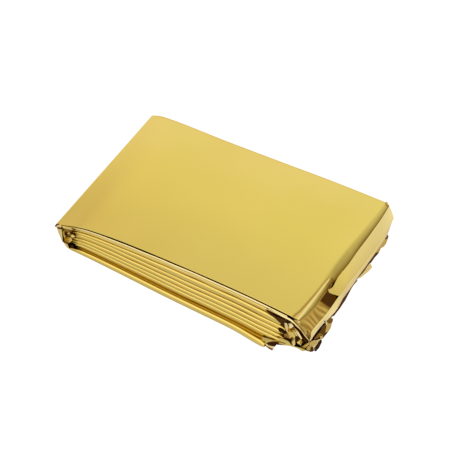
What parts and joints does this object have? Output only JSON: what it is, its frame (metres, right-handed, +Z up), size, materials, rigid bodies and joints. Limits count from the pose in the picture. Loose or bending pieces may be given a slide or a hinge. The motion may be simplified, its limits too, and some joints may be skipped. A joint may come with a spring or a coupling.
{
  "type": "emergency foil blanket",
  "caption": "Emergency thermal blanket of gold metallised film, folded back and forth into a flat rectangular packet that fans out at one end.",
  "frame": {"origin": "on the flat underside, in the middle of the packet's length between the left end and the right crease, and of the top layer's width", "axes": "+X along the packet towards the end where the layers fan out, +Y towards the back, +Z up; the fanned folded edges face -Y"},
  "size_m": [0.14, 0.0908, 0.0248],
  "materials": {
    "gold_film": "metallised gold polyester film, mirror-like with soft creases"
  },
  "bodies": {
    "root": {"blanket": "gold_film"}
  },
  "joints": []
}
